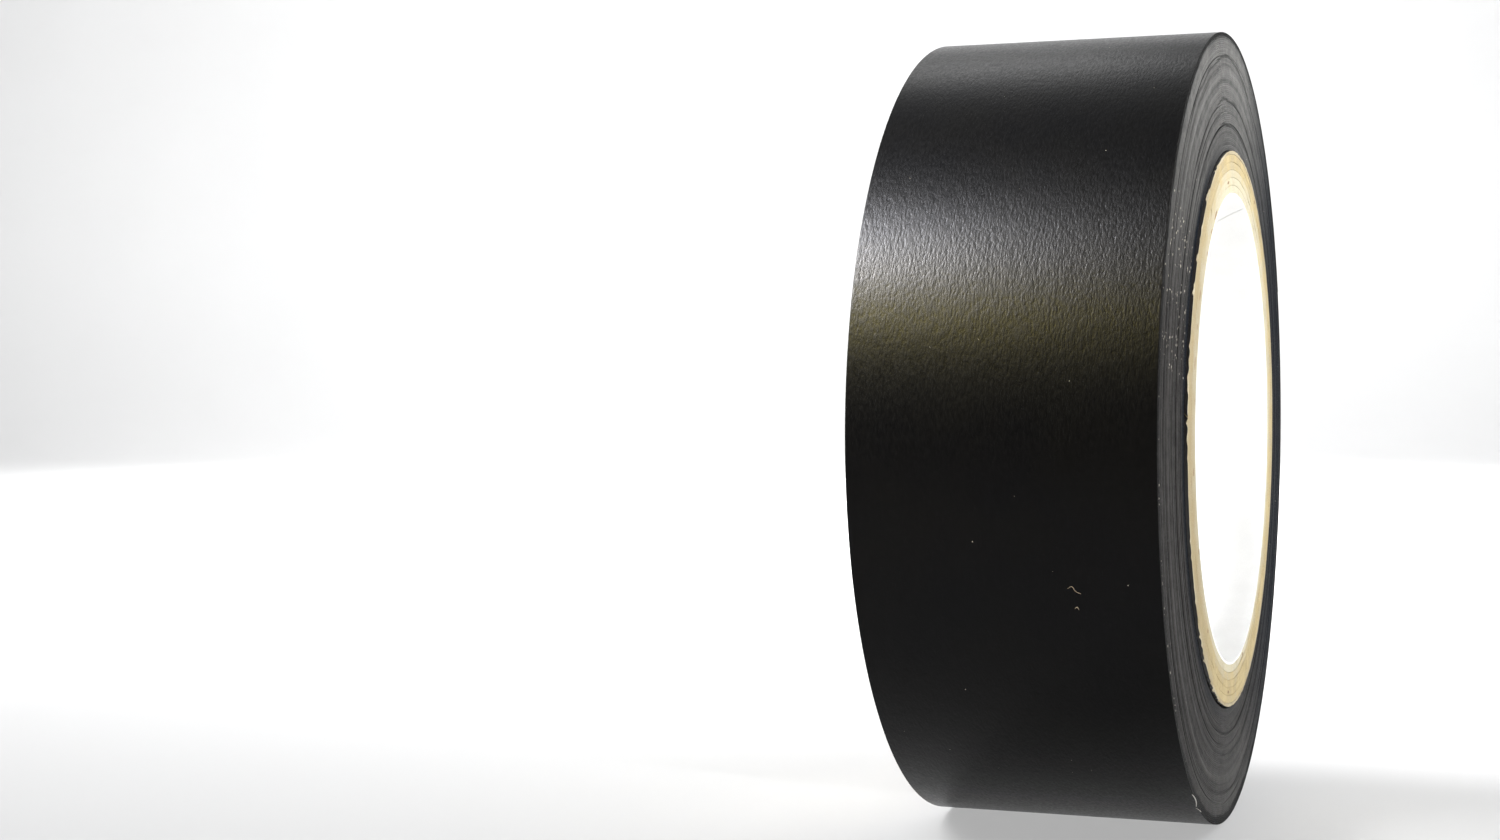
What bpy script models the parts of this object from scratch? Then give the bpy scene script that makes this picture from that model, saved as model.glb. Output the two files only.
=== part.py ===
"""Roll of black vinyl electrical tape, 19 mm wide, on a spiral-wound paperboard core.

The roll stands on its rim. Its axis is along X, Z is up, and the origin is at the
lowest point of the rim, halfway along the width. The tape is one long strip: most
of it is wound solid, and its free end lies over the back of the roll, split into
short hinged lengths so that it can be peeled off the roll and straightened.
"""

import math

import bmesh
import bpy
from mathutils import Matrix, Vector

MM = 0.001

# The tape: a vinyl film with an adhesive coat on its inner side.
TAPE_WIDTH = 19.0 * MM
ROLL_RADIUS = 27.0 * MM
FILM_THICKNESS = 0.100 * MM
ADHESIVE_THICKNESS = 0.022 * MM
LAYER_GAP = 0.004 * MM
TURN_THICKNESS = FILM_THICKNESS + ADHESIVE_THICKNESS + 2 * LAYER_GAP

# The core: a paper liner, five plies of kraft board and an outer paper ply.
BORE_RADIUS = 16.0 * MM
CORE_LENGTH = 19.8 * MM
LINER_THICKNESS = 0.15 * MM
BOARD_THICKNESS = 0.50 * MM
BOARD_PLIES = 5
OUTER_PLY_THICKNESS = 0.23 * MM
GLUE_LINE = 0.02 * MM
CORE_TO_TAPE_GAP = 0.03 * MM

# Each ply is a strip wound on a helix, and its edges meet in a butt seam.
SEAM_LEAD = 100.0 * MM
SEAM_WIDTH = 0.4 * MM
SEAM_STEPS = 18
SEAM_STAGGER = math.radians(137.0)
CUT_MARGIN = 1.0 * MM

# Round surfaces: a flat of the rim faces down, so the roll can stand.
FLATS = 72
FLAT_ANGLE = 2 * math.pi / FLATS
WELD_DISTANCE = 0.00001

# The free end: it leaves the roll just behind the top and lies down the back.
END_LENGTHS = 6
FLATS_PER_LENGTH = 2
PEEL_ANGLE = math.radians(82.5)
END_ANGLE = END_LENGTHS * FLATS_PER_LENGTH * FLAT_ANGLE
HINGE_GAP = 0.03 * MM

# The spiral rises by one turn's thickness on its way round from the peel line.
RADIUS_UNDER_PEEL = ROLL_RADIUS - TURN_THICKNESS * (1 + END_ANGLE / (2 * math.pi))

# Local X and Y of a turned piece are the roll's Y and Z, and its local Z is the axis.
AXIS_TO_WORLD = Matrix(((0, 0, 1), (1, 0, 0), (0, 1, 0))).to_4x4()


def remove_everything():
    for obj in list(bpy.data.objects):
        bpy.data.objects.remove(obj, do_unlink=True)


def new_collection(name):
    collection = bpy.data.collections.new(name)
    bpy.context.scene.collection.children.link(collection)
    return collection


def principled(name, colour, roughness, metallic=0.0):
    material = bpy.data.materials.new(name)
    material.use_nodes = True
    shader = material.node_tree.nodes["Principled BSDF"]
    shader.inputs["Base Color"].default_value = (*colour, 1.0)
    shader.inputs["Roughness"].default_value = roughness
    shader.inputs["Metallic"].default_value = metallic
    return material


def vinyl_material():
    return principled("black_vinyl", (0.012, 0.012, 0.015), 0.42)


def adhesive_material():
    return principled("rubber_adhesive", (0.016, 0.014, 0.013), 0.18)


def liner_material():
    return principled("white_liner_paper", (0.88, 0.87, 0.84), 0.80)


def board_material():
    return principled("kraft_board", (0.60, 0.44, 0.27), 0.90)


def outer_ply_material():
    return principled("pale_kraft_paper", (0.76, 0.64, 0.46), 0.85)


def add_object(name, data, collection, parent, material=None):
    obj = bpy.data.objects.new(name, data)
    collection.objects.link(obj)
    obj.parent = parent
    if material is not None:
        data.materials.append(material)
    return obj


def spiral_radius(turned):
    """Radius of the wound tape's surface, at an angle past the peel line down the back."""
    return RADIUS_UNDER_PEEL + TURN_THICKNESS * turned / (2 * math.pi)


def rim_point(turned, radius):
    angle = PEEL_ANGLE - turned
    return Vector((radius * math.cos(angle), radius * math.sin(angle), 0.0))


def axis_height():
    """Height of the roll's axis when the lowest flat of the rim rests at zero."""
    corners = [rim_point(i * FLAT_ANGLE, spiral_radius(i * FLAT_ANGLE)) for i in range(FLATS)]
    return -min(corner.y for corner in corners)


def add_roll_axis(collection):
    empty = add_object("roll_axis", None, collection, None)
    empty.matrix_world = Matrix.Translation((0.0, 0.0, axis_height())) @ AXIS_TO_WORLD
    return empty


def add_ring(name, inner, outer, length, material, collection, axis):
    """A plain ring, turned from its rectangular section."""
    half = length / 2
    section = [(outer, half), (outer, -half), (inner, -half), (inner, half)]
    mesh = bpy.data.meshes.new(name)
    edges = [(i, (i + 1) % len(section)) for i in range(len(section))]
    mesh.from_pydata([(x, 0.0, z) for x, z in section], edges, [])
    ring = add_object(name, mesh, collection, axis, material)
    ring.rotation_euler.z = FLAT_ANGLE / 2
    screw = ring.modifiers.new("turn", "SCREW")
    screw.steps = FLATS
    screw.render_steps = FLATS
    screw.use_merge_vertices = True
    screw.merge_threshold = WELD_DISTANCE
    screw.use_smooth_shade = False
    return ring


def seam_blade_mesh():
    """A thin helical blade that passes through the whole wall of the core."""
    reach = CORE_LENGTH / 2 + CUT_MARGIN
    inner = BORE_RADIUS - CUT_MARGIN
    outer = core_radius() + CUT_MARGIN
    low = -reach - SEAM_WIDTH / 2
    corners = [(inner, low), (outer, low), (outer, low + SEAM_WIDTH), (inner, low + SEAM_WIDTH)]
    blade = bmesh.new()
    face = blade.faces.new([blade.verts.new((x, 0.0, z)) for x, z in corners])
    bmesh.ops.spin(
        blade,
        geom=[face, *face.edges, *face.verts],
        cent=(0.0, 0.0, 0.0),
        axis=(0.0, 0.0, 1.0),
        dvec=(0.0, 0.0, 2 * reach / SEAM_STEPS),
        angle=2 * math.pi * 2 * reach / SEAM_LEAD,
        steps=SEAM_STEPS,
    )
    bmesh.ops.recalc_face_normals(blade, faces=blade.faces)
    mesh = bpy.data.meshes.new("seam_blade")
    blade.to_mesh(mesh)
    blade.free()
    return mesh


def cut_seam(ply, blade_mesh, turned, cutters, axis):
    """Opens the ply along its helical butt seam, at this angle round the core."""
    blade = add_object(f"{ply.name}_seam", blade_mesh, cutters, axis)
    blade.rotation_euler.z = turned
    blade.hide_render = True
    blade.display_type = "WIRE"
    cut = ply.modifiers.new("seam", "BOOLEAN")
    cut.operation = "DIFFERENCE"
    cut.solver = "EXACT"
    cut.object = blade


def core_plies():
    """Name, thickness and material of each ply, from the bore outwards."""
    board = board_material()
    plies = [("core_liner", LINER_THICKNESS, liner_material())]
    plies += [(f"core_board_ply_{i + 1}", BOARD_THICKNESS, board) for i in range(BOARD_PLIES)]
    plies.append(("core_outer_ply", OUTER_PLY_THICKNESS, outer_ply_material()))
    return plies


def core_radius():
    glue = (BOARD_PLIES + 1) * GLUE_LINE
    board = BOARD_PLIES * BOARD_THICKNESS
    return BORE_RADIUS + LINER_THICKNESS + board + OUTER_PLY_THICKNESS + glue


def build_core(collection, cutters, axis):
    blade_mesh = seam_blade_mesh()
    inner = BORE_RADIUS
    for number, (name, thickness, material) in enumerate(core_plies()):
        ply = add_ring(name, inner, inner + thickness, CORE_LENGTH, material, collection, axis)
        cut_seam(ply, blade_mesh, number * SEAM_STAGGER, cutters, axis)
        inner += thickness + GLUE_LINE


def flat_outline(name, loops, width):
    """A 2D curve through closed loops of points, filled and given the tape's width."""
    curve = bpy.data.curves.new(name, "CURVE")
    curve.dimensions = "2D"
    curve.fill_mode = "BOTH"
    curve.extrude = width / 2
    for loop in loops:
        spline = curve.splines.new("POLY")
        spline.points.add(len(loop) - 1)
        for point, place in zip(spline.points, loop):
            point.co = (place.x, place.y, 0.0, 1.0)
        spline.use_cyclic_u = True
    return curve


def build_wound_tape(collection, axis):
    """All the turns but the free end, with the step where the free end leaves them."""
    turns = [i * FLAT_ANGLE for i in range(FLATS + 1)]
    surface = [rim_point(turned, spiral_radius(turned)) for turned in turns]
    inner = core_radius() + CORE_TO_TAPE_GAP
    opening = [rim_point(turned, inner) for turned in turns[:-1]]
    outline = flat_outline("wound_tape", [surface, opening], TAPE_WIDTH)
    add_object("wound_tape", outline, collection, axis, vinyl_material())


def strip_section(start, low, high, hinge):
    """Outline of one short length of a layer, between two heights over the turn below."""
    trim = HINGE_GAP / (2 * ROLL_RADIUS)
    turns = [start + i * FLAT_ANGLE for i in range(FLATS_PER_LENGTH + 1)]
    turns[0] += trim
    turns[-1] -= trim
    outer = [rim_point(turned, spiral_radius(turned) + high) for turned in turns]
    inner = [rim_point(turned, spiral_radius(turned) + low) for turned in turns]
    return [point - hinge for point in outer + inner[::-1]]


def build_free_end(collection, axis):
    """The peelable end: hinged lengths of film, each with its coat of adhesive."""
    film_material = vinyl_material()
    coat_material = adhesive_material()
    coat_low = LAYER_GAP
    coat_high = coat_low + ADHESIVE_THICKNESS
    film_low = coat_high + LAYER_GAP
    parent = axis
    parent_place = Vector((0.0, 0.0, 0.0))
    for number in range(END_LENGTHS):
        start = number * FLATS_PER_LENGTH * FLAT_ANGLE
        place = rim_point(start, spiral_radius(start) + TURN_THICKNESS)
        hinge = add_object(f"tape_end_hinge_{number + 1}", None, collection, parent)
        hinge.location = place - parent_place
        film = strip_section(start, film_low, TURN_THICKNESS, place)
        coat = strip_section(start, coat_low, coat_high, place)
        film_name = f"tape_end_film_{number + 1}"
        coat_name = f"tape_end_adhesive_{number + 1}"
        film_curve = flat_outline(film_name, [film], TAPE_WIDTH)
        coat_curve = flat_outline(coat_name, [coat], TAPE_WIDTH)
        add_object(film_name, film_curve, collection, hinge, film_material)
        add_object(coat_name, coat_curve, collection, hinge, coat_material)
        parent = hinge
        parent_place = place


def main():
    remove_everything()
    roll = new_collection("electrical_tape_roll")
    cutters = new_collection("cutters")
    axis = add_roll_axis(roll)
    build_core(roll, cutters, axis)
    build_wound_tape(roll, axis)
    build_free_end(roll, axis)


main()
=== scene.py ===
"""Visual model of a roll of black vinyl electrical tape on a spiral-wound paper core.

The roll stands on its rim with its axis along X. Sizes here are in metres, and most
are written as millimetres times MM. A polar angle runs round the axis from +Y (the
back) towards +Z (up). A place along the tape is given in turns: 0 is the peel line,
where the free end leaves the roll, and the innermost turn has the lowest number.
"""

import math
import random

import bpy
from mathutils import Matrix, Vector, noise


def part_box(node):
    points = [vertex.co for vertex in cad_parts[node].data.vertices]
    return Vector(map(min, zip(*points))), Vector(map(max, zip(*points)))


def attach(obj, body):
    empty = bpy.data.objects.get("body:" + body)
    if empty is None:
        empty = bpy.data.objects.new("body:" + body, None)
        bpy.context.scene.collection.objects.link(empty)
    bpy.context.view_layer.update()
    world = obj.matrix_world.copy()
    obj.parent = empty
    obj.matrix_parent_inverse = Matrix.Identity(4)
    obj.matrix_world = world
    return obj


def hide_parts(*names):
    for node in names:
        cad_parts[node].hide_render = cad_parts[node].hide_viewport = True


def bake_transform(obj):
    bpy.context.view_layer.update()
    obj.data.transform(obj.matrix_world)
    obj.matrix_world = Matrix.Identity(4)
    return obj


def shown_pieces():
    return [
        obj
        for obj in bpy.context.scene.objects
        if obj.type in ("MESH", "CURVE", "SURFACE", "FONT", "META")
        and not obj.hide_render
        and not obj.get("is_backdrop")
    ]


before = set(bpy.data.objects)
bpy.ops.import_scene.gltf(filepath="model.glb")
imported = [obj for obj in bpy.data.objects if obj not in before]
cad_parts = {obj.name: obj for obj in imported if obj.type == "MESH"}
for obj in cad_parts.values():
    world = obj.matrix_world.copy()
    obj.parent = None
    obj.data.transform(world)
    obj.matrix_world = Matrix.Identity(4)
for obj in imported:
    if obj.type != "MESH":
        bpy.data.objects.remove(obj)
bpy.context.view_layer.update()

MM = 0.001
TURN = 2 * math.pi
SHARP_ANGLE = math.radians(50)

# The CAD's round parts have flats, and the true circles here lie inside them.
CAD_FLATS = 72
ROUND = math.cos(math.pi / CAD_FLATS)
CORE_LOW, CORE_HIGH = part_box("core_liner")
AXIS_HEIGHT = (CORE_LOW.z + CORE_HIGH.z) / 2

# Tape
TAPE_WIDTH = 19.0 * MM
ROLL_RADIUS = 27.0 * MM
FILM_THICKNESS = 0.100 * MM
ADHESIVE_THICKNESS = 0.022 * MM
TURN_THICKNESS = 0.130 * MM
PEEL_ANGLE = math.radians(82.5)
FREE_LENGTHS = 6
LENGTH_ANGLE = math.radians(10.0)
FREE_TURNS = FREE_LENGTHS * LENGTH_ANGLE / TURN
FREE_END_TRIM = 0.02 / 360
PEEL_RADIUS = ROLL_RADIUS - TURN_THICKNESS * FREE_TURNS
WOUND_TURNS = 60.25
OUTER_TURNS = 1.25
OVERLAP_TURNS = 3.0 / 360.0

# Detail of the tape's meshes. The face's last points stop short of its corners by this
# share of its width.
STEPS_PER_TURN = 132
OUTER_STEPS_PER_TURN = 264
FREE_STEPS_PER_TURN = 720
POINTS_ACROSS_ROLL = 12
POINTS_ACROSS_FREE_END = 10
FACE_MARGIN = 0.002

# How far the tape has wandered along the axis as it was wound, and how quickly each kind
# of wandering changes along the turns. It slips only where its noise passes SLIP_START.
CONE_DEPTH = 0.22 * MM
SLOW_WANDER, SLOW_RATE = 0.040 * MM, 0.23
QUICK_WANDER, QUICK_RATE = 0.010 * MM, 1.9
SLIP, SLIP_RATE = 0.07 * MM, 0.61
SLIP_START, SLIP_SPAN = 0.34, 0.3

# Nicks in the tape, on the points of its outline that are this near an edge.
NICK, NICK_RATE = 0.006 * MM, 31.0
NEAR_EDGE = 0.1 * MM

# Core
CORE_LENGTH = 19.8 * MM
BORE_RADIUS = 16.0 * MM
CORE_RADIUS = 19.0 * MM
GLUE_LINE = 0.02 * MM
LINER_THICKNESS = 0.15 * MM
BOARD_THICKNESS = 0.50 * MM
BOARD_PLIES = 5
OUTER_PLY_THICKNESS = 0.23 * MM

# CAD node, thickness and material slot of each ply, from the bore outwards.
PLIES = [("core_liner", LINER_THICKNESS, "liner_paper")]
PLIES += [(f"core_board_ply_{i + 1}", BOARD_THICKNESS, "core_board") for i in range(BOARD_PLIES)]
PLIES += [("core_outer_ply", OUTER_PLY_THICKNESS, "core_outer_paper")]

SEAM_LEAD = 100.0 * MM
SEAM_STAGGER = math.radians(137.0)
SEAM_START = -10.9 * MM
SEAM_OPENING = math.radians(0.25)
PLY_STEPS = 144
PLY_ROWS = 24
PLY_CORNER = 0.02 * MM
CUT_UNEVENNESS = 0.006 * MM

# How the saw has torn the plies' edges: how often for each radian, and how deep.
CHIP_START = 0.10
BOARD_CHIP_RATE, BOARD_CHIP = 9, 0.10 * MM
OUTER_CHIP_RATE, OUTER_CHIP = 38, 0.25 * MM

# Camera, as the photo's perspective asks: where it stands and where it looks.
CAMERA_AZIMUTH = math.radians(11.95)
CAMERA_ELEVATION = math.radians(1.15)
CAMERA_DISTANCE = 163.4 * MM
CAMERA_HEADING = math.radians(20.41)
CAMERA_DOWN = math.radians(0.97)
CAMERA_LENS = 55.25


# ---------------------------------------------------------------- meshes


def at(x, polar, radius):
    """The point at this place along the axis, angle round it and distance from it."""
    return (x, radius * math.cos(polar), AXIS_HEIGHT + radius * math.sin(polar))


def smooth_noise(place, seed):
    """Smooth noise along one line, from -1 to 1, and the same in each run."""
    return noise.noise(Vector((place, 17.31 * seed, 5.7)))


def make_object(name, verts, faces, materials, slots=None, turns=None):
    """A mesh object with smooth shading, and sharp edges where it turns a corner."""
    mesh = bpy.data.meshes.new(name)
    mesh.from_pydata(verts, [], faces)
    for material in materials:
        mesh.materials.append(material)
    if slots:
        mesh.polygons.foreach_set("material_index", slots)
    if turns:
        attribute = mesh.attributes.new("turn", "FLOAT", "POINT")
        attribute.data.foreach_set("value", turns)
    mesh.polygons.foreach_set("use_smooth", [True] * len(mesh.polygons))
    mesh.set_sharp_from_angle(angle=SHARP_ANGLE)
    mesh.update()
    made = bpy.data.objects.new(name, mesh)
    bpy.context.scene.collection.objects.link(made)
    return made


class Loft:
    """Closed solids through rows of points, each row a closed outline."""

    def __init__(self):
        self.verts = []
        self.faces = []
        self.slots = []
        self.turns = []

    def add(self, rows, side_slots=None, cap_slot=0, turns=None):
        """Adds one solid. Its sides have their own material slots, and its two caps share one."""
        count = len(rows[0])
        first = len(self.verts)
        side_slots = side_slots or [0] * count
        for number, row in enumerate(rows):
            self.verts.extend(row)
            self.turns.extend([turns[number] if turns else 0.0] * count)
        for number in range(len(rows) - 1):
            low = first + number * count
            for i in range(count):
                j = (i + 1) % count
                self.faces.append((low + i, low + j, low + count + j, low + count + i))
                self.slots.append(side_slots[i])
        last = first + (len(rows) - 1) * count
        self.faces.append(tuple(range(first + count - 1, first - 1, -1)))
        self.faces.append(tuple(range(last, last + count)))
        self.slots.extend([cap_slot, cap_slot])

    def make(self, name, materials):
        return make_object(name, self.verts, self.faces, materials, self.slots, self.turns)


# ---------------------------------------------------------------- materials


def node(tree, kind, inputs=None, **properties):
    """Adds a node. An input given as a socket is linked, and any other value is set."""
    made = tree.nodes.new(kind)
    for key, value in properties.items():
        setattr(made, key, value)
    for key, value in (inputs or {}).items():
        if isinstance(value, bpy.types.NodeSocket):
            tree.links.new(value, made.inputs[key])
        else:
            made.inputs[key].default_value = value
    return made


def new_material(name, **uniform):
    """A material with its shader, whose even values are set on the shader itself."""
    material = bpy.data.materials.new(name)
    material.use_nodes = True
    shader = material.node_tree.nodes["Principled BSDF"]
    for key, value in uniform.items():
        shader.inputs[key.replace("_", " ")].default_value = value
    return material, material.node_tree, shader


def place_on(tree):
    """Where a point of the surface is, in metres."""
    return node(tree, "ShaderNodeTexCoord").outputs["Object"]


def noise_at(tree, vector, size, detail=2.0, roughness=0.5):
    """Noise whose grains are about this size."""
    inputs = {"Vector": vector, "Scale": 1 / size, "Detail": detail, "Roughness": roughness}
    return node(tree, "ShaderNodeTexNoise", inputs).outputs["Fac"]


def remap(tree, value, low, high, new_low=0.0, new_high=1.0):
    """The value moved from one range to another, and held inside it."""
    inputs = {
        "Value": value,
        "From Min": low,
        "From Max": high,
        "To Min": new_low,
        "To Max": new_high,
    }
    return node(tree, "ShaderNodeMapRange", inputs).outputs["Result"]


def mix(tree, share, first, second):
    """Mixes two colours, each given as a socket or as three numbers."""
    pair = [c if isinstance(c, bpy.types.NodeSocket) else (*c, 1.0) for c in (first, second)]
    inputs = {0: share, 6: pair[0], 7: pair[1]}
    return node(tree, "ShaderNodeMix", inputs, data_type="RGBA").outputs[2]


def maths(tree, operation, first, second=0.0):
    return node(tree, "ShaderNodeMath", {0: first, 1: second}, operation=operation).outputs[0]


def bump(tree, height, distance, normal=None):
    """Relief of this depth, over the relief that the given normal already has."""
    inputs = {"Height": height, "Distance": distance}
    if normal is not None:
        inputs["Normal"] = normal
    return node(tree, "ShaderNodeBump", inputs).outputs["Normal"]


def surface(tree, shader, colour, rough, normal):
    tree.links.new(colour, shader.inputs["Base Color"])
    tree.links.new(rough, shader.inputs["Roughness"])
    tree.links.new(normal, shader.inputs["Normal"])


def vinyl_film():
    """Calendered black film: a fine grain, drawn out along the tape, over a faint ripple."""
    material, tree, shader = new_material("vinyl_film", Specular_IOR_Level=0.12)
    place = place_on(tree)
    drawn = node(tree, "ShaderNodeMapping", {"Vector": place, "Scale": (1.0, 0.4, 0.4)})
    patches = noise_at(tree, place, 6.0 * MM, 3.0)
    grain = noise_at(tree, drawn.outputs["Vector"], 0.16 * MM, 2.0, 0.6)
    ripple = noise_at(tree, place, 1.4 * MM, 1.0)
    patches = remap(tree, patches, 0.35, 0.65)
    colour = mix(tree, patches, (0.0006, 0.0006, 0.0008), (0.0011, 0.0010, 0.0009))
    rough = remap(tree, grain, 0.3, 0.7, 0.28, 0.38)
    normal = bump(tree, ripple, 0.010 * MM)
    normal = bump(tree, grain, 0.018 * MM, normal)
    surface(tree, shader, colour, rough, normal)
    return material


def noise_along(tree, turn, scale, detail):
    """Noise along the tape, so that each turn differs from the one under it."""
    inputs = {"W": turn, "Scale": scale, "Detail": detail}
    made = node(tree, "ShaderNodeTexNoise", inputs, noise_dimensions="1D")
    return made.outputs["Fac"]


BLACK = (0.003, 0.003, 0.003)
BLUE_BLACK = (0.004, 0.006, 0.010)
PALE_BURR = (0.20, 0.20, 0.20)


def growth_lines_and_shade(tree, place, turn):
    """How pale the edge of each turn is, and how dark the growth lines over them are. The
    paleness is each turn's own tone; the dark lines are painted shade of recessed turns.
    """
    sway = remap(tree, noise_at(tree, place, 7.0 * MM, 1.0), 0.2, 0.8, -3.0, 3.0)
    swayed = maths(tree, "ADD", turn, sway)
    fine = maths(tree, "MULTIPLY", noise_along(tree, turn, 2.3, 1.0), 0.35)
    broad = noise_along(tree, swayed, 0.16, 2.0)
    mottle = noise_at(tree, place, 0.9 * MM, 4.0, 0.75)
    share = maths(tree, "ADD", maths(tree, "ADD", fine, mottle), broad)
    # Painted shade: dark lines over a few turns, for the shade of recessed turns.
    lines = remap(tree, noise_along(tree, swayed, 0.26, 1.0), 0.54, 0.68, 0.0, 0.6)
    return remap(tree, share, 0.90, 1.45), lines


def edge_grey_with_top_light(tree, share, height, top):
    """Grey edges, paler on the roll's top, where this is painted light from above, and paler
    towards its foot.
    """
    foot = remap(tree, height, 0.28 * AXIS_HEIGHT, 0.03 * AXIS_HEIGHT, 0.0, 0.28)
    top_light_and_foot = maths(tree, "MAXIMUM", top, foot)
    pale = mix(tree, top_light_and_foot, (0.056, 0.053, 0.050), (0.215, 0.213, 0.204))
    deep = mix(tree, top_light_and_foot, (0.014, 0.013, 0.013), (0.088, 0.088, 0.085))
    return mix(tree, share, deep, pale)


def shade_far_side_and_core_gap(tree, colour, across, turn):
    """Painted shade: blue-black edges towards the back, where the face's far side falls in shade,
    and on the innermost turns, for the shadowed gap at the core.
    """
    back = remap(tree, across, 6.0 * MM, 20.0 * MM, 0.0, 0.92)
    colour = mix(tree, back, colour, BLUE_BLACK)
    inner = remap(tree, turn, 3 - WOUND_TURNS, 7 - WOUND_TURNS, 1.0, 0.0)
    aside = maths(tree, "ABSOLUTE", across)
    inner = maths(tree, "MULTIPLY", inner, remap(tree, aside, 3.0 * MM, 13.0 * MM, 0.25, 1.0))
    return mix(tree, inner, colour, BLUE_BLACK)


def dark_rim(tree, colour, place, turn, top):
    """A ragged black rim on the outermost turns, narrower on the roll's top: painted shade of the
    groove along the outer turn's edge.
    """
    width = remap(tree, top, 0.0, 1.0, 6.0, 1.5)
    ragged = maths(tree, "MULTIPLY", noise_at(tree, place, 1.5 * MM, 2.0), width)
    rim = remap(tree, maths(tree, "ADD", turn, ragged), -1.8, -0.9, 0.0, 0.95)
    return mix(tree, rim, colour, BLACK)


def wound_edge():
    """The slit edges of all the turns, with growth lines: painted light makes them paler on top,
    and painted shade darkens the far side, the innermost turns and the outer rim.
    """
    material, tree, shader = new_material("wound_edge", Specular_IOR_Level=0.12)
    place = place_on(tree)
    parts = node(tree, "ShaderNodeSeparateXYZ", {"Vector": place}).outputs
    turn = node(tree, "ShaderNodeAttribute", attribute_name="turn").outputs["Fac"]
    burr = noise_at(tree, place, 0.10 * MM, 3.0, 0.6)
    # Painted light: the edges turn paler towards the roll's top, as if lit from above.
    top = remap(tree, parts["Z"], 1.25 * AXIS_HEIGHT, 1.95 * AXIS_HEIGHT)
    share, lines = growth_lines_and_shade(tree, place, turn)
    colour = edge_grey_with_top_light(tree, share, parts["Z"], top)
    colour = mix(tree, lines, colour, BLACK)
    colour = shade_far_side_and_core_gap(tree, colour, parts["Y"], turn)
    colour = dark_rim(tree, colour, place, turn, top)
    colour = mix(tree, remap(tree, burr, 0.62, 0.80, 0.0, 0.5), colour, PALE_BURR)
    rough = remap(tree, burr, 0.3, 0.7, 0.50, 0.70)
    normal = bump(tree, burr, 0.020 * MM)
    surface(tree, shader, colour, rough, normal)
    return material


def rubber_adhesive():
    """Tacky black coat with a stippled, glossy face."""
    material, tree, shader = new_material("rubber_adhesive", Specular_IOR_Level=0.5)
    place = place_on(tree)
    stipple = noise_at(tree, place, 0.35 * MM, 2.0)
    streaks = noise_at(tree, place, 2.5 * MM, 2.0)
    colour = mix(tree, streaks, (0.006, 0.005, 0.005), (0.014, 0.012, 0.010))
    rough = remap(tree, stipple, 0.3, 0.7, 0.14, 0.26)
    normal = bump(tree, stipple, 0.012 * MM)
    surface(tree, shader, colour, rough, normal)
    return material


def paper(name, pale, dark, fibre_size, depth):
    """Paper or board: mottled, with crossed fibres."""
    material, tree, shader = new_material(name, Specular_IOR_Level=0.20)
    place = place_on(tree)
    mottle = noise_at(tree, place, 2.4 * MM, 3.0)
    fibres = noise_at(tree, place, fibre_size, 4.0, 0.65)
    share = remap(tree, maths(tree, "MULTIPLY", mottle, fibres), 0.14, 0.36)
    colour = mix(tree, share, dark, pale)
    rough = remap(tree, fibres, 0.3, 0.7, 0.78, 0.95)
    normal = bump(tree, fibres, depth)
    surface(tree, shader, colour, rough, normal)
    return material


def board(name, tan_above, tan_below):
    """Kraft board: cream to tan, by these shares at the top and at the bottom."""
    material, tree, shader = new_material(name, Specular_IOR_Level=0.20)
    place = place_on(tree)
    parts = node(tree, "ShaderNodeSeparateXYZ", {"Vector": place}).outputs
    mottle = noise_at(tree, place, 2.0 * MM, 3.0, 0.6)
    fibres = noise_at(tree, place, 0.10 * MM, 4.0, 0.65)
    low, high = 0.45 * AXIS_HEIGHT, 1.65 * AXIS_HEIGHT
    tan = remap(tree, parts["Z"], low, high, tan_below, tan_above)
    tan = maths(tree, "ADD", tan, remap(tree, mottle, 0.3, 0.7, -0.45, 0.45))
    tan = remap(tree, tan, 0.1, 0.9)
    pale = mix(tree, tan, (0.64, 0.60, 0.46), (0.55, 0.45, 0.25))
    deep = mix(tree, tan, (0.50, 0.44, 0.30), (0.34, 0.25, 0.12))
    share = remap(tree, maths(tree, "ADD", mottle, fibres), 0.75, 1.10)
    colour = mix(tree, share, deep, pale)
    # Darker towards the front of the ring.
    front_darkening = remap(tree, parts["Y"], -5.0 * MM, -15.0 * MM, 0.0, 0.55)
    front_darkening = maths(tree, "MULTIPLY", front_darkening, remap(tree, mottle, 0.3, 0.6, 0.6, 1.0))
    colour = mix(tree, front_darkening, colour, (0.27, 0.22, 0.14))
    rough = remap(tree, fibres, 0.3, 0.7, 0.78, 0.95)
    normal = bump(tree, fibres, 0.022 * MM)
    surface(tree, shader, colour, rough, normal)
    return material


def plain_speck(name, colour, pale, rough):
    """Dust, lint or a string of adhesive, mottled between two colours."""
    material, tree, shader = new_material(name, Specular_IOR_Level=0.4)
    mottle = noise_at(tree, place_on(tree), 0.08 * MM, 2.0)
    tree.links.new(mix(tree, mottle, colour, pale), shader.inputs["Base Color"])
    tree.links.new(remap(tree, mottle, 0.3, 0.7, rough, rough + 0.2), shader.inputs["Roughness"])
    return material


def stage_paint():
    """Plain pale studio paint with a barely visible mottle."""
    material, tree, shader = new_material("stage_paint", Specular_IOR_Level=0.0)
    mottle = noise_at(tree, place_on(tree), 60.0 * MM)
    colour = mix(tree, mottle, (0.60, 0.60, 0.60), (0.62, 0.62, 0.62))
    tree.links.new(colour, shader.inputs["Base Color"])
    shader.inputs["Roughness"].default_value = 0.9
    return material


# ---------------------------------------------------------------- tape


def tape_radius(turn):
    """Radius of the tape's outer face at this place along it."""
    return (PEEL_RADIUS + TURN_THICKNESS * turn) * ROUND


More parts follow.
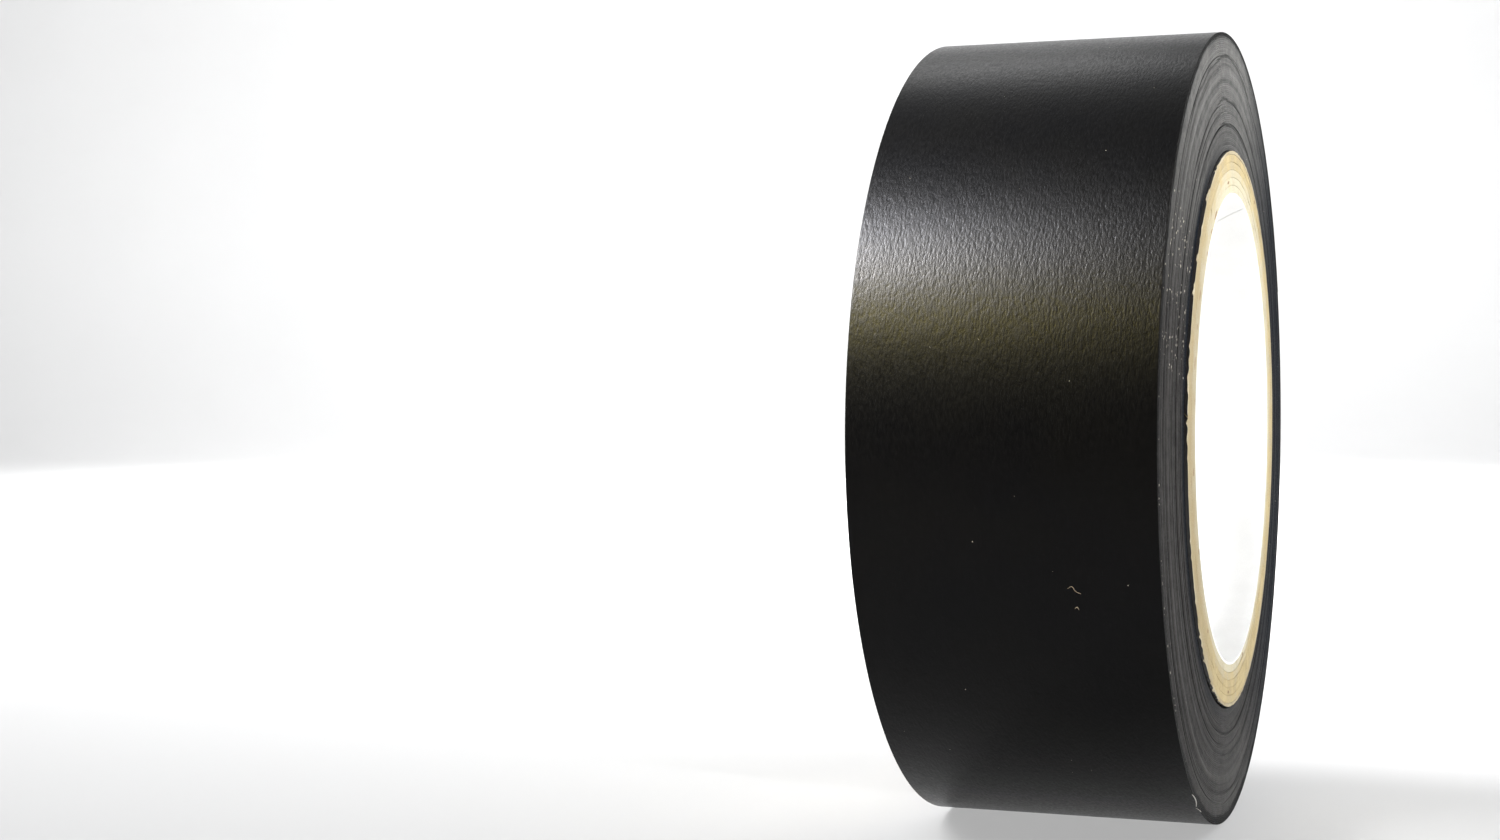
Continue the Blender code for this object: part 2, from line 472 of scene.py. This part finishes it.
def tape_shift(turn):
    """How far the tape has wandered along the axis: the wound face is a shallow cone."""
    depth = (ROLL_RADIUS - tape_radius(min(turn, 0.0))) / (ROLL_RADIUS - CORE_RADIUS)
    inward = -min(turn, 0.0)
    cone = CONE_DEPTH * depth
    slow = SLOW_WANDER * smooth_noise(turn * SLOW_RATE, 1) * min(1.0, inward / 2)
    quick = QUICK_WANDER * smooth_noise(turn * QUICK_RATE, 2) * min(1.0, inward)
    slipped = max(0.0, smooth_noise(turn * SLIP_RATE, 3) - SLIP_START) / SLIP_SPAN
    return cone + slow + quick - SLIP * slipped * min(1.0, inward / 3)


def tape_row(turn, section):
    """The tape's outline at this place: the section gives (side, inset, depth)."""
    polar = PEEL_ANGLE - TURN * turn
    radius = tape_radius(turn)
    shift = tape_shift(turn)
    half = TAPE_WIDTH / 2
    nick = NICK * smooth_noise(turn * NICK_RATE, 4)
    row = []
    for side, inset, depth in section:
        x = side * (half - inset) + shift
        row.append(at(x + nick if inset < NEAR_EDGE else x, polar, radius - depth))
    return row


# One slit edge of the tape and its adhesive, as (inset from the edge, depth).
EDGE_PROFILE = [
    (0.034 * MM, 0.0),
    (0.008 * MM, 0.010 * MM),
    (0.0, 0.045 * MM),
    (0.006 * MM, 0.100 * MM),
    (0.040 * MM, 0.126 * MM),
]


def mirrored(profile, across=0):
    """A closed outline from one edge's profile, with this many points across the face."""
    right = [(1, inset, depth) for inset, depth in profile]
    left = [(-1, inset, depth) for inset, depth in reversed(profile)]
    if not across:
        return right + left
    margin, depth = profile[0]
    span = TAPE_WIDTH - 2 * margin
    between = [i / (across - 1) for i in range(1, across - 1)]
    shares = [FACE_MARGIN, *between, 1 - FACE_MARGIN]
    face = [(1, TAPE_WIDTH - margin - span * share, depth) for share in shares]
    return right + left + face


def edge_slots(profile, across=0):
    """Material slot of each side of that outline: 1 on the two edges, 0 elsewhere."""
    edge = [1] * (len(profile) - 1)
    return edge + [0] + edge + [0] * (across + 1)


def turns_between(first, last, steps_per_turn):
    """Places along the tape, this many to a turn, with both ends among them."""
    count = max(2, math.ceil((last - first) * steps_per_turn - 1e-6))
    return [first + (last - first) * i / count for i in range(count + 1)]


def build_wound_tape(film, edge):
    """All the turns up to the peel line, as one spiral strip, finer on the outside."""
    strip = Loft()
    inside = (-WOUND_TURNS, -OUTER_TURNS, STEPS_PER_TURN, 0)
    outside = (-OUTER_TURNS, -OVERLAP_TURNS, OUTER_STEPS_PER_TURN, POINTS_ACROSS_ROLL)
    for first, last, steps_per_turn, across in (inside, outside):
        turns = turns_between(first, last, steps_per_turn)
        section = mirrored(EDGE_PROFILE, across)
        rows = [tape_row(turn, section) for turn in turns]
        strip.add(rows, edge_slots(EDGE_PROFILE, across), 1, turns)
    made = strip.make("tape_winding", [film, edge])
    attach(made, "roll")
    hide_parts("wound_tape")


# One slit edge of the free end's film, and of the adhesive under it.
FILM_PROFILE = [
    (0.030 * MM, 0.0),
    (0.008 * MM, 0.010 * MM),
    (0.0, 0.045 * MM),
    (0.010 * MM, FILM_THICKNESS),
]
COAT_TOP = FILM_THICKNESS + 0.001 * MM
COAT_PROFILE = [
    (0.050 * MM, COAT_TOP),
    (0.042 * MM, COAT_TOP + 0.010 * MM),
    (0.060 * MM, COAT_TOP + ADHESIVE_THICKNESS),
]


def free_piece_ends(number):
    """Where this piece of the free end starts and ends, from mid-length to mid-length."""
    length = LENGTH_ANGLE / TURN
    first = -OVERLAP_TURNS if number == 0 else (number - 0.5) * length
    last = FREE_TURNS - FREE_END_TRIM if number == FREE_LENGTHS else (number + 0.5) * length
    return first, last


def join_to_roll(made, number):
    """Bakes this piece's place into its mesh, or lets the last one ride on the last length."""
    if number == FREE_LENGTHS:
        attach(made, f"tape_end_{number}")
        return
    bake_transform(made)


def build_free_layer(kind, profile, materials):
    """One layer of the free end, in pieces that meet at the middles of its lengths."""
    section = mirrored(profile, POINTS_ACROSS_FREE_END)
    slots = edge_slots(profile, POINTS_ACROSS_FREE_END)
    for number in range(FREE_LENGTHS + 1):
        first, last = free_piece_ends(number)
        turns = turns_between(first, last, FREE_STEPS_PER_TURN)
        layer = Loft()
        layer.add([tape_row(turn, section) for turn in turns], slots, 1, turns)
        made = layer.make(f"end_{kind}_{number}", materials)
        join_to_roll(made, number)
        if number:
            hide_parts(f"tape_end_{kind}_{number}")


# ---------------------------------------------------------------- core


def ply_half(number):
    """Half this ply's length: the plies' cut ends aren't quite flush with each other."""
    return CORE_LENGTH / 2 - CUT_UNEVENNESS * (number * 5 % 3)


def ply_section(inner, outer, number):
    """A ply's outline, as (x, radius, chipped): its cut ends are rounded off."""
    half = ply_half(number)
    flat = half - PLY_CORNER
    slope = 0.3 * PLY_CORNER
    xs = [-flat + 2 * flat * i / PLY_ROWS for i in range(PLY_ROWS + 1)]
    ends = [0.3, 0.5, 0.7]
    section = [(x, outer, x in (xs[0], xs[-1])) for x in xs]
    section.append((half - slope, outer - slope, True))
    section += [(half, outer + (inner - outer) * share, False) for share in ends]
    section.append((half - slope, inner + slope, False))
    section += [(x, inner, False) for x in reversed(xs)]
    section.append((-half + slope, inner + slope, False))
    section += [(-half, inner + (outer - inner) * share, False) for share in ends]
    section.append((-half + slope, outer - slope, True))
    return section


def chip_at(polar, side, outermost):
    """How far the saw has torn a ply's outer edge back here, most of all the outermost."""
    rate = OUTER_CHIP_RATE if outermost else BOARD_CHIP_RATE
    depth = OUTER_CHIP if outermost else BOARD_CHIP
    return depth * max(0.0, smooth_noise(polar * rate, 6 + side) - CHIP_START)


def ply_row(section, number, share):
    """The ply's outline at this share of its way round, from one side of its seam."""
    row = []
    for x, radius, chipped in section:
        seam = number * SEAM_STAGGER + TURN * (x - SEAM_START) / SEAM_LEAD
        polar = seam + SEAM_OPENING / 2 + share * (TURN - SEAM_OPENING)
        side = math.copysign(1.0, x)
        if chipped:
            x -= side * chip_at(polar + number, side, number == len(PLIES) - 1)
        row.append(at(x, polar, radius * ROUND))
    return row


def build_core(materials, adhesive_and_gap_shade):
    """The core's plies. The outermost one is black with the adhesive on its outer face, under the
    first turn, and on its cut corners, where the black is painted shade of the gap between core
    and tape.
    """
    inner = BORE_RADIUS
    for number, (name, thickness, slot) in enumerate(PLIES):
        outer = inner + thickness
        section = ply_section(inner, outer, number)
        outermost = number == len(PLIES) - 1
        steps = 3 * PLY_STEPS if outermost else PLY_STEPS
        rows = [ply_row(section, number, 1.0 - i / steps) for i in range(steps + 1)]
        # Painted shade: the outermost ply's cut corners are black, as in the gap between core and
        # tape; its outer face is black with the first turn's adhesive.
        adhesive_and_shade_sides = [1] * (PLY_ROWS + 1) + [0] * (len(section) - PLY_ROWS - 2) + [1]
        ply = Loft()
        ply.add(rows, adhesive_and_shade_sides if outermost else None)
        looks = [materials[number], adhesive_and_gap_shade] if outermost else [materials[number]]
        made = ply.make(name.replace("core_", "ply_of_"), looks)
        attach(made, "roll")
        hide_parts(name)
        inner = outer + GLUE_LINE


# How tan each board ply is above and below, from the bore outwards.
BOARD_TONES = [(0.05, 0.10), (0.10, 0.70), (0.35, 0.95), (0.80, 1.00), (0.95, 0.85)]


def core_materials():
    """One material for each ply, from the bore outwards."""
    liner = paper("liner_paper", (0.96, 0.96, 0.95), (0.91, 0.91, 0.90), 0.12 * MM, 0.008 * MM)
    boards = [board(f"board_{i + 1}", *tones) for i, tones in enumerate(BOARD_TONES)]
    outer = paper("outer_paper", (0.54, 0.48, 0.34), (0.34, 0.27, 0.16), 0.10 * MM, 0.015 * MM)
    return [liner, *boards, outer]


# ---------------------------------------------------------------- small things


class Flecks:
    """Many small flakes in one mesh, each a squashed and uneven double cone."""

    def __init__(self, seed):
        self.chance = random.Random(seed)
        self.verts = []
        self.faces = []

    def add(self, centre, outward, along, length, width, height):
        """A flake on a surface, lying along this direction and standing up this much."""
        corners = 7
        first = len(self.verts)
        middle, outward, along = Vector(centre), Vector(outward), Vector(along)
        across = outward.cross(along)
        for i in range(corners):
            turned = TURN * i / corners
            reach = self.chance.uniform(0.6, 1.0)
            arm = along * (length * math.cos(turned)) + across * (width * math.sin(turned))
            rise = outward * (height * self.chance.uniform(0.0, 0.3))
            self.verts.append(tuple(middle + arm * reach + rise))
        self.verts.append(tuple(middle + outward * height))
        self.verts.append(tuple(middle - outward * height / 4))
        top, bottom = first + corners, first + corners + 1
        for i in range(corners):
            j = (i + 1) % corners
            self.faces.append((first + i, first + j, top))
            self.faces.append((first + j, first + i, bottom))

    def make(self, name, material):
        made = make_object(name, self.verts, self.faces, [material])
        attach(made, "roll")


def outer_turn(polar):
    """The place along the tape that is outermost at this angle, ahead of the peel line."""
    return -((polar - PEEL_ANGLE) / TURN % 1.0)


def outward_at(polar):
    """The direction away from the axis at this angle."""
    return (0.0, math.cos(polar), math.sin(polar))


def onward_at(polar):
    """The direction round the axis at this angle."""
    return (0.0, -math.sin(polar), math.cos(polar))


def at_box_side(polar):
    """Whether the roll touches a side of its box here, so that nothing may stand proud."""
    return abs(math.remainder(polar, TURN / 4)) < math.radians(4)


def dust_the_face(flecks, count):
    """Dust on the outer face, but not on the free end."""
    chance = flecks.chance
    for _ in range(count):
        polar = chance.uniform(PEEL_ANGLE + math.radians(8), PEEL_ANGLE + math.radians(285))
        x = chance.uniform(-8.5, 8.8) * MM
        size = chance.uniform(0.022, 0.045) * MM
        width = size * chance.uniform(0.5, 0.9)
        if not at_box_side(polar):
            centre = at(x, polar, tape_radius(outer_turn(polar)))
            flecks.add(centre, outward_at(polar), onward_at(polar), size, width, width / 2)


def dust_an_end(flecks, side, count, polars, turns, sizes):
    """Dust on one wound end, between these angles, turns and sizes."""
    chance = flecks.chance
    for _ in range(count):
        polar = math.radians(chance.uniform(*polars))
        turn = outer_turn(polar) + math.floor(chance.uniform(*turns))
        size = chance.uniform(*sizes) * MM
        width = size * chance.uniform(0.25, 0.6)
        x = side * (TAPE_WIDTH / 2 - 0.002 * MM) + tape_shift(turn)
        centre = at(x, polar, tape_radius(turn) - 0.06 * MM)
        flecks.add(centre, (side, 0.0, 0.0), onward_at(polar), size, width, width / 2)


FACE_DUST = 40

# Dust on each wound end: how many specks, and between which angles in degrees, which
# turns and which sizes in millimetres. It is thickest on the upper front shoulder.
END_DUST = [
    (40, (0, 360), (-58, -2), (0.03, 0.07)),
    (110, (144, 172), (-56, -4), (0.05, 0.15)),
    (22, (150, 225), (-3, -1), (0.05, 0.12)),
]


def build_dust(material):
    """All the dust on the tape, in one piece."""
    flecks = Flecks(7)
    dust_the_face(flecks, FACE_DUST)
    for side in (1, -1):
        for amount in END_DUST:
            dust_an_end(flecks, side, *amount)
    flecks.make("dust_specks", material)


# Angle in degrees, board ply and length in millimetres of each spot.
CORE_SPOTS = [
    (101, 2, 1.2), (121, 1, 1.8), (128, 1, 0.9), (136, 1, 0.7), (149, 2, 1.2),
    (157, 2, 0.6), (165, 2, 1.1), (173, 1, 0.8), (188, 2, 0.9), (207, 1, 0.7),
    (229, 2, 0.5), (262, 4, 0.8), (284, 1, 0.6), (24, 4, 0.8), (61, 5, 0.6),
]


def build_core_spots(material):
    """Flat brown specks of bran in the board's cut ends."""
    flecks = Flecks(11)
    for degrees, ply, size in CORE_SPOTS:
        polar = math.radians(degrees)
        boards = BORE_RADIUS + LINER_THICKNESS + GLUE_LINE
        radius = (boards + (ply - 0.5) * (BOARD_THICKNESS + GLUE_LINE)) * ROUND
        reach, width, height = size * MM / 2, 0.15 * MM, 0.007 * MM
        for side in (1, -1):
            centre = at(side * (ply_half(ply) - 0.002 * MM), polar, radius)
            flecks.add(centre, (side, 0.0, 0.0), onward_at(polar), reach, width, height)
    flecks.make("core_spots", material)


def add_tube(loft, points, widths, up):
    """Adds a thin closed tube along these points, this wide at each of them."""
    sides = 5
    last = len(points) - 1
    rows = []
    for i, (point, width) in enumerate(zip(points, widths)):
        ahead = (points[min(i + 1, last)] - points[max(i - 1, 0)]).normalized()
        across = (up - ahead * up.dot(ahead)).normalized()
        other = ahead.cross(across)
        row = []
        for k in range(sides):
            turned = TURN * k / sides
            arm = across * math.cos(turned) + other * math.sin(turned)
            row.append(tuple(point + arm * (width / 2)))
        rows.append(row)
    loft.add(rows)


def smoothed(points):
    """The same path with its corners cut, and its two ends kept."""
    cut = [points[0]]
    for here, there in zip(points, points[1:]):
        cut += [here.lerp(there, 0.25), here.lerp(there, 0.75)]
    return cut + [points[-1]]


def skin_path(places, lift):
    """A path just over the outer face, through (x in millimetres, angle in degrees)."""
    path = []
    for x, degrees in places:
        polar = math.radians(degrees)
        path.append(Vector(at(x * MM, polar, tape_radius(outer_turn(polar)) + lift)))
    return smoothed(smoothed(path))


def build_strand(name, places, lift, width, material):
    """A hair or string of adhesive that lies on the outer face, thinner at its ends."""
    path = skin_path(places, lift)
    last = len(path) - 1
    widths = [width * (0.4 + 0.6 * math.sin(math.pi * i / last)) for i in range(last + 1)]
    strand = Loft()
    add_tube(strand, path, widths, Vector(outward_at(math.radians(places[0][1]))))
    made = strand.make(name, [material])
    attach(made, "roll")


# Where each strand lies: x in millimetres and angle in degrees.
FIBRE = [(3.9, 199.6), (4.2, 199.2), (4.35, 200.0), (4.7, 200.3)]
CRUMB = [(4.25, 202.4), (4.40, 202.1), (4.50, 202.6)]
STRING = [(9.44, 238.0), (9.52, 239.0), (9.54, 240.2), (9.48, 241.6), (9.36, 243.0)]
STRING_TAIL = [(9.30, 243.6), (9.46, 244.4), (9.50, 245.6)]


def build_strands(lint, glue):
    """A hair and a crumb of lint, and a string of adhesive at the foot of the roll."""
    build_strand("lint_fibre", FIBRE, 0.02 * MM, 0.035 * MM, lint)
    build_strand("lint_crumb", CRUMB, 0.02 * MM, 0.040 * MM, lint)
    build_strand("adhesive_string", STRING, 0.0, 0.070 * MM, glue)
    build_strand("adhesive_string_tail", STRING_TAIL, 0.0, 0.040 * MM, glue)


def build_fuzz(material):
    """Short paper fibres that stand out of the core's two cut ends."""
    chance = random.Random(23)
    fibres_per_end = 150
    fuzz = Loft()
    for side in (1, -1):
        for _ in range(fibres_per_end):
            polar = chance.uniform(0.0, TURN)
            radius = chance.uniform(BORE_RADIUS + 0.10 * MM, CORE_RADIUS - 0.10 * MM) * ROUND
            root = Vector(at(side * (CORE_LENGTH / 2 - 0.07 * MM), polar, radius))
            lean = Vector(outward_at(chance.uniform(0.0, TURN))) * chance.uniform(0.06, 0.22) * MM
            rise = Vector((side * chance.uniform(0.03, 0.055) * MM, 0.0, 0.0))
            width = chance.uniform(0.012, 0.022) * MM
            bends = [math.sin(0.7 * math.pi * i / 3) for i in range(4)]
            points = [root + lean * i / 3 + rise * bend for i, bend in enumerate(bends)]
            widths = [width, width, 0.8 * width, 0.4 * width]
            add_tube(fuzz, points, widths, Vector((1.0, 0.0, 0.0)))
    made = fuzz.make("cut_paper_fuzz", [material])
    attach(made, "roll")


# ---------------------------------------------------------------- studio


def build_stage():
    """A round pale floor that curves up into a wall."""
    hole, floor_radius, curve, wall = 0.002, 0.75, 0.20, 0.95
    rings, wall_rings, steps = 12, 4, 96
    profile = [(hole, 0.0)] + [(floor_radius * i / rings, 0.0) for i in range(1, rings + 1)]
    for i in range(1, rings + 1):
        angle = math.pi / 2 * i / rings
        profile.append((floor_radius + curve * math.sin(angle), curve - curve * math.cos(angle)))
    for i in range(1, wall_rings + 1):
        profile.append((floor_radius + curve, curve + (wall - curve) * i / wall_rings))
    verts = []
    faces = []
    for i in range(steps):
        turned = TURN * i / steps
        verts += [(r * math.cos(turned), r * math.sin(turned), z) for r, z in profile]
    count = len(profile)
    for i in range(steps):
        low, high = i * count, (i + 1) % steps * count
        faces += [(low + j, low + j + 1, high + j + 1, high + j) for j in range(count - 1)]
    faces.append(tuple(i * count for i in range(steps)))
    made = make_object("studio_floor", verts, faces, [stage_paint()])
    made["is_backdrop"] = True
    return made


def area_light(name, place, target, size, power, spread, colour):
    """A soft box with a grid: its light stays within the spread, in degrees."""
    data = bpy.data.lights.new(name, "AREA")
    data.spread = math.radians(spread)
    data.shape = "RECTANGLE"
    data.size, data.size_y = size
    data.energy = power
    data.color = colour
    light = bpy.data.objects.new(name, data)
    light.location = place
    light.rotation_euler = (Vector(target) - Vector(place)).to_track_quat("-Z", "Y").to_euler()
    light.visible_camera = False
    bpy.context.scene.collection.objects.link(light)
    return light


BRIGHT_SIDE = (-0.034, -0.024, AXIS_HEIGHT + 0.012)
WHOLE_FACE = (-0.014, -0.024, AXIS_HEIGHT + 0.012)
ROLL_TOP = (0.0, 0.0, 0.054)
UPPER_END = (0.0095, -0.012, 0.062)
MIDDLE = (0.0, 0.0, AXIS_HEIGHT)
WHITE = (1.0, 1.0, 1.0)
BLUISH = (0.90, 0.91, 1.0)
WARM_WHITE = (1.0, 0.97, 0.95)
GOLDEN = (1.0, 0.81, 0.06)

# Place, target, size, power, spread in degrees and tint of each light. The three keys
# stand near the mirror direction of the tape's face, so they are weak.
ROLL_LIGHTS = {
    "key_high": ((-0.123, -0.142, 0.235), BRIGHT_SIDE, (0.03, 0.04), 0.038, 27, BLUISH),
    "key_middle": ((-0.123, -0.175, 0.210), BRIGHT_SIDE, (0.03, 0.04), 0.054, 27, WARM_WHITE),
    "key_low": ((-0.085, -0.212, 0.162), WHOLE_FACE, (0.03, 0.045), 0.0064, 30, GOLDEN),
    "top_light": ((-0.06, 0.13, 0.22), ROLL_TOP, (0.06, 0.06), 0.0034, 60, WHITE),
    "end_light": ((0.150, -0.060, 0.125), UPPER_END, (0.05, 0.04), 0.012, 34, WHITE),
    "end_fill": ((0.50, -0.20, 0.10), MIDDLE, (0.20, 0.15), 0.07, 18, WHITE),
}
STAGE_LIGHTS = {
    "left_floor_light": ((-0.45, 0.14, 0.45), (-0.06, 0.12, 0.0), (0.30, 0.30), 0.46, 60, WHITE),
    "right_floor_light": ((0.30, 0.16, 0.45), (0.02, 0.12, 0.0), (0.30, 0.30), 0.52, 60, WHITE),
    "back_light": ((-0.12, 0.34, 0.50), (-0.12, 0.38, 0.0), (0.45, 0.30), 2.2, 64, WHITE),
    "wall_light": ((-0.20, 0.40, 0.70), (-0.30, 0.95, 0.18), (0.70, 0.30), 3.6, 100, WHITE),
}


def build_lights(table):
    return [area_light(name, *settings) for name, settings in table.items()]


def build_air():
    """Even light from all round."""
    world = bpy.data.worlds.new("studio_air")
    world.use_nodes = True
    background = world.node_tree.nodes["Background"]
    background.inputs["Color"].default_value = (0.95, 0.97, 1.0, 1.0)
    background.inputs["Strength"].default_value = 0.42
    bpy.context.scene.world = world


def flag_lights(lights, reached):
    """Flags these lights off everything but these objects."""
    group = bpy.data.collections.new(f"{lights[0].name}_reach")
    for obj in reached:
        group.objects.link(obj)
    for light in lights:
        light.light_linking.receiver_collection = group
    return group


def build_camera():
    """The photo's camera, close to the roll and a little to the side of it."""
    data = bpy.data.cameras.new("photo_camera")
    data.lens = CAMERA_LENS
    data.clip_start = 5 * MM
    data.clip_end = 5.0
    camera = bpy.data.objects.new("photo_camera", data)
    away = CAMERA_DISTANCE * math.cos(CAMERA_ELEVATION)
    rise = CAMERA_DISTANCE * math.sin(CAMERA_ELEVATION)
    camera.location = (
        away * math.sin(CAMERA_AZIMUTH),
        -away * math.cos(CAMERA_AZIMUTH),
        AXIS_HEIGHT + rise,
    )
    level = math.cos(CAMERA_DOWN)
    looks = Vector((
        -level * math.sin(CAMERA_HEADING),
        level * math.cos(CAMERA_HEADING),
        -math.sin(CAMERA_DOWN),
    ))
    camera.rotation_euler = looks.to_track_quat("-Z", "Y").to_euler()
    bpy.context.scene.collection.objects.link(camera)
    bpy.context.scene.camera = camera


def main():
    """Builds every piece before the lights are flagged, because the flags list the pieces."""
    bpy.context.scene.view_settings.view_transform = "Standard"
    build_camera()
    stage = build_stage()
    on_roll = build_lights(ROLL_LIGHTS)
    on_stage = build_lights(STAGE_LIGHTS)
    build_air()
    film = vinyl_film()
    edge = wound_edge()
    coat = rubber_adhesive()
    build_wound_tape(film, edge)
    build_free_layer("film", FILM_PROFILE, [film, edge])
    build_free_layer("adhesive", COAT_PROFILE, [coat, coat])
    papers = core_materials()
    build_core(papers, coat)
    build_fuzz(papers[1])
    dust = plain_speck("dust", (0.34, 0.31, 0.26), (0.66, 0.62, 0.52), 0.6)
    glue = plain_speck("dried_adhesive", (0.42, 0.40, 0.36), (0.62, 0.60, 0.55), 0.3)
    lint = plain_speck("lint", (0.13, 0.10, 0.07), (0.32, 0.26, 0.18), 0.6)
    brown = plain_speck("brown_spot", (0.16, 0.09, 0.04), (0.30, 0.18, 0.08), 0.7)
    build_dust(dust)
    build_core_spots(brown)
    build_strands(lint, glue)
    flag_lights(on_roll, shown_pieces())
    stage_only = flag_lights(on_stage, [stage])
    # Only the first of the stage's lights casts the roll's shadow on the floor.
    for light in on_stage[1:]:
        light.light_linking.blocker_collection = stage_only


main()
